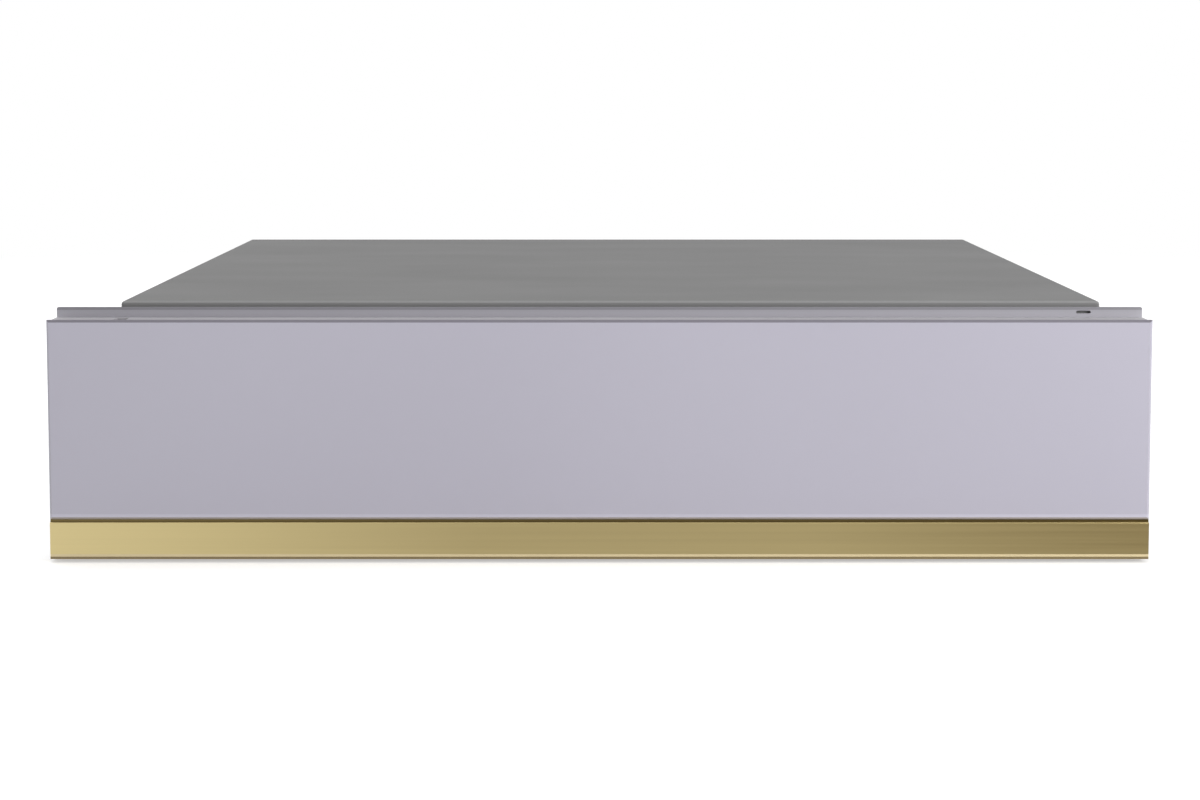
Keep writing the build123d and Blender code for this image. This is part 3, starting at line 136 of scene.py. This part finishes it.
# ------------------------------------------------------------------ node material helpers
class Nodes:
    """Adds nodes to one node tree."""

    def __init__(self, tree):
        self.tree = tree

    def node(self, kind, **values):
        """A new node; a value is a socket's default, a link, or a property."""
        made = self.tree.nodes.new(kind)
        for key, value in values.items():
            if hasattr(made, key):
                setattr(made, key, value)
                continue
            socket = made.inputs[int(key[1:])] if key[1:].isdigit() else made.inputs[key]
            if isinstance(value, bpy.types.NodeSocket):
                self.tree.links.new(value, socket)
            else:
                socket.default_value = value
        return made

    def place(self, stretch=(1.0, 1.0, 1.0)):
        """Position on the object, in metres, stretched per axis."""
        where = self.node("ShaderNodeTexCoord").outputs["Object"]
        return self.node("ShaderNodeMapping", Vector=where, Scale=stretch).outputs["Vector"]

    def axis(self, name):
        where = self.node("ShaderNodeTexCoord").outputs["Object"]
        return self.node("ShaderNodeSeparateXYZ", Vector=where).outputs[name]

    def along_normal(self, name):
        """How much the surface faces along one axis, from -1 to 1."""
        normal = self.node("ShaderNodeNewGeometry").outputs["True Normal"]
        return self.node("ShaderNodeSeparateXYZ", Vector=normal).outputs[name]

    def maths(self, operation, a, b):
        return self.node("ShaderNodeMath", operation=operation, i0=a, i1=b).outputs[0]

    def between(self, value, low, high):
        """1 where a value lies between two numbers, otherwise 0."""
        over = self.maths("GREATER_THAN", value, low)
        return self.maths("MULTIPLY", over, self.maths("LESS_THAN", value, high))

    def noise(self, scale, detail, stretch=(1.0, 1.0, 1.0)):
        made = self.node(
            "ShaderNodeTexNoise", Vector=self.place(stretch), Scale=scale, Detail=detail
        )
        return made.outputs["Fac"]

    def spread(self, value, low, high, from_low=0.3, from_high=0.7):
        """A value mapped to a new range."""
        made = self.node(
            "ShaderNodeMapRange", i0=value, i1=from_low, i2=from_high, i3=low, i4=high
        )
        return made.outputs[0]

    def blend(self, factor, first, second):
        """A colour between two, by a factor."""
        first, second = (
            colour if isinstance(colour, bpy.types.NodeSocket) else (*colour, 1.0)
            for colour in (first, second)
        )
        made = self.node("ShaderNodeMix", data_type="RGBA", i0=factor, i6=first, i7=second)
        return made.outputs[2]


class Shader(Nodes):
    """Builds one node material around a Principled shader."""

    def __init__(self, name, colour, roughness, metallic=0.0):
        self.material = bpy.data.materials.new(name)
        self.material.use_nodes = True
        super().__init__(self.material.node_tree)
        self.bsdf = self.tree.nodes["Principled BSDF"]
        self.output = self.tree.nodes["Material Output"]
        self.set("Base Color", (*colour, 1.0))
        self.set("Roughness", roughness)
        self.set("Metallic", metallic)

    def set(self, socket, value):
        self.bsdf.inputs[socket].default_value = value

    def link(self, source, socket):
        self.tree.links.new(source, self.bsdf.inputs[socket])

    def bump(self, height, strength, distance):
        made = self.node("ShaderNodeBump", Height=height, Strength=strength, Distance=distance)
        self.link(made.outputs["Normal"], "Normal")


def shade(colour, factor):
    return tuple(min(1.0, part * factor) for part in colour)


# ------------------------------------------------------------------ materials
def brushed(name, colour, roughness):
    """Brushed metal whose fine lines run along X."""
    s = Shader(name, colour, roughness, 0.75)
    lines = s.noise(1.0, 2.0, (9.0, 900.0, 900.0))
    clouds = s.noise(7.0, 3.0)
    tint = s.blend(s.spread(lines, 0.0, 1.0), shade(colour, 0.9), shade(colour, 1.1))
    s.link(s.blend(s.spread(clouds, 0.0, 0.35), tint, shade(colour, 0.9)), "Base Color")
    s.link(s.spread(lines, roughness - 0.05, roughness + 0.07), "Roughness")
    s.bump(lines, 0.12, 0.02 * MM)
    return s.material


def sheet_metal(name, colour, roughness, metallic, shine=0.5):
    """Dull zinc-coated sheet: fine mottling and a slight roll direction."""
    return sheet_shader(name, colour, roughness, metallic, shine)[0].material


def sheet_shader(name, colour, roughness, metallic, shine):
    """The sheet's shader, and its colour before any painted light is added along an edge."""
    s = Shader(name, colour, roughness, metallic)
    s.set("Specular IOR Level", shine)
    grain = s.noise(900.0, 2.0)
    cloud = s.noise(14.0, 4.0, (0.5, 1.0, 1.0))
    tint = s.blend(s.spread(grain, 0.0, 1.0), shade(colour, 0.94), shade(colour, 1.06))
    tone = s.blend(s.spread(cloud, 0.0, 0.6), tint, shade(colour, 0.92))
    s.link(tone, "Base Color")
    s.link(s.spread(cloud, roughness - 0.03, roughness + 0.03), "Roughness")
    s.bump(grain, 0.10, 0.02 * MM)
    return s, tone


def cover_sheet(colour, roughness, shine):
    """The cover's sheet, with a painted highlight along the fold at its front end and a little
    painted light on the lip below.
    """
    s, tone = sheet_shader("cover_sheet", colour, roughness, 0.0, shine)
    near = s.maths("LESS_THAN", s.axis("Y"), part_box("top_cover")[0].y + FOLD_DEPTH)
    forward = s.maths("MULTIPLY", s.along_normal("Y"), -1.0)
    # a painted highlight on the fold, and a little painted light on the lip below it
    fold = s.maths("MULTIPLY", near, s.between(forward, *FOLD_FACING))
    lip = s.maths("MULTIPLY", near, s.maths("GREATER_THAN", forward, FOLD_FACING[1]))
    tone = s.blend(fold, tone, shade(colour, FOLD_HIGHLIGHT_TONE))
    s.link(s.blend(lip, tone, shade(colour, LIP_PAINTED_LIGHT_TONE)), "Base Color")
    return s.material


def frame_coat():
    """The frame's coat, with a painted shadow along its upper rim and painted light that makes it
    paler below its upper band.
    """
    colour = (0.39, 0.38, 0.42)
    s = Shader("frame_coat", colour, 0.5)
    peel = s.noise(1500.0, 2.0)
    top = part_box("front_frame")[1].z
    band_start, band_end = FRAME_BAND
    # painted light below the upper band, and a painted shadow on the rim
    lower = s.spread(s.axis("Z"), 1.0, 0.0, top - band_start, top - band_end)
    tone = s.blend(lower, colour, shade(colour, FRAME_PAINTED_LIGHT_TONE))
    rim = s.maths("GREATER_THAN", s.axis("Z"), top - FRAME_RIM)
    tone = s.blend(rim, tone, shade(colour, FRAME_RIM_SHADOW_TONE))
    s.link(tone, "Base Color")
    s.link(s.spread(peel, 0.45, 0.55), "Roughness")
    s.bump(peel, 0.15, 0.03 * MM)
    return s.material


def coated(name, colour, roughness):
    """Powder coat: a fine orange peel."""
    s = Shader(name, colour, roughness)
    peel = s.noise(1500.0, 2.0)
    cloud = s.noise(9.0, 3.0)
    tint = s.blend(s.spread(cloud, 0.0, 1.0), shade(colour, 0.96), shade(colour, 1.04))
    s.link(tint, "Base Color")
    s.link(s.spread(peel, roughness - 0.05, roughness + 0.05), "Roughness")
    s.bump(peel, 0.15, 0.03 * MM)
    return s.material


def moulded(name, colour, roughness, grain_scale=2200.0, strength=0.25):
    """Moulded plastic or rubber with an eroded grain."""
    s = Shader(name, colour, roughness)
    grain = s.noise(grain_scale, 3.0)
    cloud = s.noise(25.0, 2.0)
    tint = s.blend(s.spread(cloud, 0.0, 1.0), shade(colour, 0.9), shade(colour, 1.1))
    s.link(tint, "Base Color")
    s.link(s.spread(grain, roughness - 0.06, roughness + 0.06), "Roughness")
    s.bump(grain, strength, 0.04 * MM)
    return s.material


def painted_glass():
    """Glass painted on its back: smooth, with painted shade on its upward-facing edge, a duller
    painted shade on its downward-facing edge, and a painted highlight line along its bottom."""
    face = (0.47, 0.455, 0.53)
    s = Shader("painted_glass", face, 0.12)
    cloud = s.noise(3.0, 2.0, (1.0, 1.0, 0.4))
    tone = s.blend(s.spread(cloud, 0.0, 1.0), shade(face, 0.985), shade(face, 1.015))
    # painted shade on edges facing up or down, and a painted highlight line above the bottom
    upward = s.along_normal("Z")
    above = s.maths("GREATER_THAN", upward, GLASS_EDGE_FACING)
    below = s.maths("LESS_THAN", upward, -GLASS_EDGE_FACING)
    tone = s.blend(above, tone, GLASS_UPPER_EDGE_SHADE)
    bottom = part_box("front_glass")[0].z
    line_start, line_end = GLASS_LINE
    line = s.between(s.axis("Z"), bottom + line_start, bottom + line_end)
    tone = s.blend(line, tone, shade(face, GLASS_HIGHLIGHT_TONE))
    s.link(s.blend(below, tone, GLASS_LOWER_EDGE_SHADE), "Base Color")
    s.link(s.spread(above, 0.12, 0.6, 0.0, 1.0), "Roughness")
    s.link(s.spread(above, 0.5, 0.1, 0.0, 1.0), "Specular IOR Level")
    s.set("IOR", 1.52)
    return s.material


def gold_strip():
    """Brushed and anodised strip, its fine lines along its length, with painted shade in its
    groove and under its rounded lower edge, and a painted highlight line between its face and
    that edge."""
    colour = (0.68, 0.565, 0.285)
    s = Shader("gold_strip", colour, 0.3, 1.0)
    lines = s.noise(1.0, 2.0, (5.0, 700.0, 700.0))
    tint = s.blend(s.spread(lines, 0.0, 1.0), shade(colour, 0.98), shade(colour, 1.02))
    low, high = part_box("trim_strip")
    # painted shade in the groove, a painted highlight line and painted shade under the lower edge
    behind = s.maths("GREATER_THAN", s.axis("Y"), low.y + STRIP_GROOVE_DEPTH)
    above = s.maths("GREATER_THAN", s.axis("Z"), high.z - STRIP_GROOVE_DROP)
    groove_shade = s.maths("MULTIPLY", behind, above)
    tone = s.blend(groove_shade, tint, STRIP_GROOVE_SHADE)
    height = s.axis("Z")
    line_start, line_end = STRIP_LINE
    line = s.between(height, low.z + line_start, low.z + line_end)
    tone = s.blend(line, tone, STRIP_HIGHLIGHT_COLOUR)
    under = s.maths("LESS_THAN", height, low.z + line_start)
    s.link(s.blend(under, tone, STRIP_UNDER_EDGE_SHADE), "Base Color")
    s.link(s.maths("SUBTRACT", 1.0, s.maths("MAXIMUM", line, under)), "Metallic")
    s.link(s.spread(lines, 0.29, 0.33), "Roughness")
    return s.material


def clear_red():
    s = Shader("clear_red", (0.55, 0.03, 0.02), 0.12)
    rings = s.node("ShaderNodeTexWave", Vector=s.place(), Scale=300.0, Distortion=0.0)
    tone = s.blend(rings.outputs["Fac"], (0.42, 0.02, 0.015), (0.62, 0.05, 0.03))
    s.link(tone, "Base Color")
    s.set("Coat Weight", 0.6)
    return s.material


def mineral_wool():
    s = Shader("mineral_wool", (0.62, 0.55, 0.36), 0.95)
    fibre = s.noise(260.0, 6.0, (0.4, 1.0, 1.0))
    tone = s.blend(s.spread(fibre, 0.0, 1.0), (0.45, 0.38, 0.22), (0.72, 0.66, 0.48))
    s.link(tone, "Base Color")
    s.bump(fibre, 0.9, 0.6 * MM)
    return s.material


def oxidised():
    """The element's tube: dark, with heat tints."""
    s = Shader("oxidised", (0.12, 0.10, 0.09), 0.5, 0.7)
    heat = s.noise(30.0, 4.0)
    tone = s.blend(s.spread(heat, 0.0, 1.0), (0.07, 0.065, 0.07), (0.20, 0.14, 0.09))
    s.link(tone, "Base Color")
    s.link(s.spread(heat, 0.4, 0.6), "Roughness")
    return s.material


def laminated():
    """Stacked motor sheets, seen as fine lines across the stack."""
    s = Shader("laminated", (0.13, 0.13, 0.14), 0.45, 0.8)
    lines = s.node(
        "ShaderNodeTexWave", Vector=s.place(), Scale=320.0, Distortion=0.4, bands_direction="Y"
    )
    tone = s.blend(lines.outputs["Fac"], (0.07, 0.07, 0.075), (0.20, 0.20, 0.21))
    s.link(tone, "Base Color")
    s.bump(lines.outputs["Fac"], 0.4, 0.1 * MM)
    return s.material


def taped_copper():
    s = Shader("taped_copper", (0.40, 0.14, 0.05), 0.35)
    turns = s.node(
        "ShaderNodeTexWave", Vector=s.place(), Scale=260.0, Distortion=0.8, bands_direction="X"
    )
    tone = s.blend(turns.outputs["Fac"], (0.22, 0.07, 0.03), (0.52, 0.20, 0.07))
    s.link(tone, "Base Color")
    s.bump(turns.outputs["Fac"], 0.6, 0.2 * MM)
    return s.material


def circuit():
    """Green board with pale tracks; the tall parts on it are dark."""
    green = (0.02, 0.12, 0.05)
    s = Shader("circuit", green, 0.4)
    cells = s.node("ShaderNodeTexVoronoi", Vector=s.place(), Scale=220.0, distance="MANHATTAN")
    tracks = s.maths("LESS_THAN", cells.outputs["Distance"], 0.3)
    board = s.blend(tracks, green, (0.05, 0.20, 0.09))
    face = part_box("control_board")[1].y - BOARD_SHEET
    parts = s.maths("LESS_THAN", s.axis("Y"), face)
    s.link(s.blend(parts, board, (0.04, 0.04, 0.045)), "Base Color")
    return s.material


FINISHES = {
    "front_glass": painted_glass(),
    "gold_anodised": gold_strip(),
    "front_sheet": coated("front_sheet", (0.37, 0.36, 0.385), 0.45),
    "frame_coat": frame_coat(),
    "stainless": brushed("stainless", (0.62, 0.615, 0.61), 0.36),
    "galvanised": sheet_metal("galvanised", ZINC_GREY, ZINC_ROUGHNESS, 0.0, ZINC_SHINE),
    "zinc_rail": sheet_metal("zinc_rail", (0.55, 0.55, 0.57), 0.3, 1.0),
    "bearing_steel": sheet_metal("bearing_steel", (0.62, 0.62, 0.63), 0.16, 1.0),
    "silicone": moulded("silicone", (0.035, 0.035, 0.038), 0.8, 1200.0, 0.3),
    "black_plastic": moulded("black_plastic", (0.022, 0.022, 0.024), 0.5),
    "grey_plastic": moulded("grey_plastic", (0.19, 0.19, 0.20), 0.45),
    "red_lens": clear_red(),
    "adhesive": moulded("adhesive", (0.03, 0.03, 0.03), 0.7, 500.0, 0.5),
    "insulation": mineral_wool(),
    "element_steel": oxidised(),
    "motor_steel": laminated(),
    "winding": taped_copper(),
    "circuit": circuit(),
}


def dress_nodes():
    """Gives every CAD node the finish of its slot, and the cover its painted light along its
    front edge.
    """
    for part in frame["record"]["subparts"]:
        node = nodes[part["node"]]
        node.data.materials.clear()
        node.data.materials.append(FINISHES[part["material_slot"]])
    nodes["top_cover"].data.materials[0] = cover_sheet(ZINC_GREY, ZINC_ROUGHNESS, ZINC_SHINE)


# ------------------------------------------------------------------ small pieces
def add_piece(name, shape, material, body):
    """A mesh piece that rides on a body, made from a bmesh."""
    mesh = bpy.data.meshes.new(name)
    shape.to_mesh(mesh)
    shape.free()
    mesh.materials.append(material)
    piece = bpy.data.objects.new(name, mesh)
    scene.collection.objects.link(piece)
    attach(piece, body)


def add_slab(shape, outline, height, place):
    """A flat slab with this outline, standing from 0 up to a height, put in its place."""
    rings = [
        [shape.verts.new(place @ Vector((x, y, z))) for x, y in outline] for z in (0.0, height)
    ]
    shape.faces.new(rings[1])
    shape.faces.new(list(reversed(rings[0])))
    for i in range(len(outline)):
        j = (i + 1) % len(outline)
        shape.faces.new((rings[0][i], rings[0][j], rings[1][j], rings[1][i]))


def star(points, outer, inner):
    """The outline of a screw's star-shaped drive."""
    return [
        (
            (inner if i % 2 else outer) * math.cos(math.pi * i / points),
            (inner if i % 2 else outer) * math.sin(math.pi * i / points),
        )
        for i in range(2 * points)
    ]


def add_text(shape, text, size, place):
    """Raised characters, centred on their place."""
    curve = bpy.data.curves.new("text", "FONT")
    curve.body = text
    curve.size = size
    curve.align_x = "CENTER"
    curve.align_y = "CENTER"
    curve.extrude = MARK_HEIGHT / 2
    curve.resolution_u = 3
    holder = bpy.data.objects.new("text", curve)
    mesh = bpy.data.meshes.new_from_object(holder)
    mesh.transform(place)
    shape.from_mesh(mesh)
    bpy.data.objects.remove(holder)
    bpy.data.curves.remove(curve)
    bpy.data.meshes.remove(mesh)


def islands(mesh):
    """The corners of each separate solid of a mesh."""
    linked = bmesh.new()
    linked.from_mesh(mesh)
    bmesh.ops.remove_doubles(linked, verts=linked.verts, dist=MERGE_DISTANCE)
    left = set(linked.verts)
    found = []
    while left:
        queue = [left.pop()]
        solid = []
        while queue:
            corner = queue.pop()
            solid.append(corner.co.copy())
            for edge in corner.link_edges:
                other = edge.other_vert(corner)
                if other in left:
                    left.remove(other)
                    queue.append(other)
        found.append(solid)
    linked.free()
    return found


def head_frame(corners):
    """Where a screw's head ends, as a frame with +Z out of the head, and the head's radius."""
    low = Vector([min(c[i] for c in corners) for i in range(3)])
    high = Vector([max(c[i] for c in corners) for i in range(3)])
    size, middle = high - low, (low + high) / 2
    pairs = [(abs(size[(i + 1) % 3] - size[(i + 2) % 3]), i) for i in range(3)]
    along = min(pairs)[1]
    radius = size[(along + 1) % 3] / 2
    rim = []
    for corner in corners:
        flat = corner - middle
        flat[along] = 0.0
        if flat.length > HEAD_RIM * radius:
            rim.append(corner[along])
    out = 1.0 if sum(rim) / len(rim) > middle[along] else -1.0
    top = middle.copy()
    top[along] = high[along] if out > 0 else low[along]
    direction = Vector((0, 0, 0))
    direction[along] = out
    turn = direction.to_track_quat("Z", "Y").to_matrix().to_4x4()
    return Matrix.Translation(top) @ turn, radius


def add_screw_drives():
    """A thin dark star on each screw's head, painted shade that stands for its drive's recess."""
    dark = moulded("drive_shadow", (0.012, 0.012, 0.013), 0.8)
    for node, body in (("casing_screws", "housing"), ("drawer_screws", "drawer")):
        shape = bmesh.new()
        for corners in islands(nodes[node].data):
            place, radius = head_frame(corners)
            outline = star(DRIVE_POINTS, DRIVE_OUTER * radius, DRIVE_INNER * radius)
            add_slab(shape, outline, MARK_HEIGHT, place)
        add_piece(node + "_drives", shape, dark, body)


def add_dial():
    """The scale round the knob, and the white line in its pointer."""
    low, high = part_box("temperature_knob")
    centre = (low + high) / 2
    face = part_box("control_fascia")[1].z
    white = moulded("mark_white", MARK_WHITE, 0.6)
    scale = bmesh.new()
    for i, text in enumerate(DIAL_TEXTS):
        angle = math.radians(DIAL_STEP * i)
        out = Vector((-math.sin(angle), -math.cos(angle), 0.0))
        spot = centre + DIAL_RADIUS * out
        spot.z = face + MARK_HEIGHT / 2
        add_text(scale, text, DIAL_TEXT_SIZE, Matrix.Translation(spot))
    add_piece("dial_scale", scale, white, "drawer")
    line = bmesh.new()
    half = POINTER_HALF_WIDTH
    near, far = -POINTER_END, -POINTER_START
    outline = [(-half, near), (half, near), (half, far), (-half, far)]
    place = Matrix.Translation((centre.x, centre.y, high.z - POINTER_DEPTH))
    add_slab(line, outline, POINTER_FILL, place)
    add_piece("pointer_line", line, white, "knob")


def add_rocker_marks():
    """The on and off marks on the two faces of the rocker."""
    low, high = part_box("switch_body")
    pivot = (low + high) / 2
    pivot.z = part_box("control_fascia")[1].z - ROCKER_PIVOT_DROP
    lean = math.radians(ROCKER_TILT)
    rest = Matrix.Translation(pivot) @ Matrix.Rotation(lean, 4, "Y")
    white = moulded("rocker_white", MARK_WHITE, 0.6)
    marks = bmesh.new()
    for side, text in ((-1, "I"), (1, "O")):
        middle = Vector((side * ROCKER_MARK_X, 0, ROCKER_RISE + ROCKER_MARK_X * math.tan(lean)))
        place = rest @ Matrix.Translation(middle) @ Matrix.Rotation(-side * lean, 4, "Y")
        add_text(marks, text, ROCKER_MARK_SIZE, place)
    add_piece("rocker_marks", marks, white, "rocker")


# ------------------------------------------------------------------ stage
def rays_that_see_white(s):
    """1 for camera, glossy and transmission rays, otherwise 0."""
    path = s.node("ShaderNodeLightPath")
    total = path.outputs["Is Camera Ray"]
    for name in ("Is Glossy Ray", "Is Transmission Ray"):
        total = s.maths("MAXIMUM", total, path.outputs[name])
    return total


def make_world():
    """White to the camera; in mirrors its front fades to warm grey at the right."""
    world = bpy.data.worlds.new("studio")
    scene.world = world
    world.use_nodes = True
    s = Nodes(world.node_tree)
    background = s.tree.nodes["Background"]
    way = s.node("ShaderNodeNewGeometry").outputs["Incoming"]
    parts = s.node("ShaderNodeSeparateXYZ", Vector=way)
    across = s.spread(parts.outputs["X"], 1.0, 0.0, -CARD_SPREAD, CARD_SPREAD)
    in_front = s.spread(parts.outputs["Y"], 0.0, 1.0, *CARD_START)
    glossy = s.node("ShaderNodeLightPath").outputs["Is Glossy Ray"]
    amount = s.maths("MULTIPLY", s.maths("MULTIPLY", across, in_front), glossy)
    s.tree.links.new(s.blend(amount, CARD_LEFT, CARD_RIGHT), background.inputs["Color"])
    strength = s.spread(rays_that_see_white(s), WORLD_AMBIENT, BACKGROUND, 0.0, 1.0)
    s.tree.links.new(strength, background.inputs["Strength"])


def card_tone(s):
    """What mirrors see in front of the object: white at the left, warm grey at the right."""
    first, second = (
        s.spread(s.axis("X"), 0.0, share, start, end) for start, end, share in CARD_STEPS
    )
    across = s.maths("ADD", first, second)
    in_front = s.spread(s.axis("Y"), 1.0, 0.0, *CARD_END)
    return s.blend(s.maths("MULTIPLY", across, in_front), CARD_LEFT, CARD_RIGHT)


def make_floor():
    """A plain pale floor that looks white to the camera and keeps the soft shadow."""
    mesh = bpy.data.meshes.new("floor")
    half = FLOOR_HALF
    corners = [(-half, -half, 0), (half, -half, 0), (half, half, 0), (-half, half, 0)]
    mesh.from_pydata(corners, [], [(0, 1, 2, 3)])
    floor = bpy.data.objects.new("floor", mesh)
    scene.collection.objects.link(floor)
    s = Shader("floor", (FLOOR_GREY,) * 3, 1.0)
    s.set("Specular IOR Level", 0.0)
    strength = s.maths("MULTIPLY", rays_that_see_white(s), FLOOR_GLOW)
    glow = s.node("ShaderNodeEmission", Color=(1, 1, 1, 1), Strength=strength)
    lit = s.node("ShaderNodeAddShader", i0=s.bsdf.outputs[0], i1=glow.outputs[0])

    glossy = s.node("ShaderNodeLightPath").outputs["Is Glossy Ray"]
    card = s.node("ShaderNodeEmission", Color=s.blend(glossy, CARD_LEFT, card_tone(s)))
    distance = s.node("ShaderNodeVectorMath", operation="LENGTH", i0=s.place()).outputs["Value"]
    far = s.spread(distance, 0.0, 1.0, *FLOOR_PLAIN)
    plain = s.maths("MAXIMUM", far, glossy)
    mixed = s.node("ShaderNodeMixShader", i0=plain, i1=lit.outputs[0], i2=card.outputs[0])
    s.tree.links.new(mixed.outputs[0], s.output.inputs["Surface"])
    mesh.materials.append(s.material)


def make_lamps():
    """Square area lamps that point at the object."""
    for name, place, target, width, power in LAMPS:
        data = bpy.data.lights.new(name, "AREA")
        data.shape = "SQUARE"
        data.size = width
        data.energy = power
        lamp = bpy.data.objects.new(name, data)
        lamp.location = place
        lamp.rotation_mode = "QUATERNION"
        lamp.rotation_quaternion = (Vector(target) - Vector(place)).to_track_quat("-Z", "Y")
        scene.collection.objects.link(lamp)


def make_camera():
    data = bpy.data.cameras.new("camera")
    data.lens = CAMERA_LENS
    data.shift_y = CAMERA_SHIFT
    camera = bpy.data.objects.new("camera", data)
    camera.location = CAMERA_PLACE
    camera.rotation_euler = (math.radians(90 - CAMERA_PITCH), 0, 0)
    scene.collection.objects.link(camera)
    scene.camera = camera


scene.view_settings.view_transform = "Standard"
dress_nodes()
add_screw_drives()
add_dial()
add_rocker_marks()
make_world()
make_floor()
make_lamps()
make_camera()
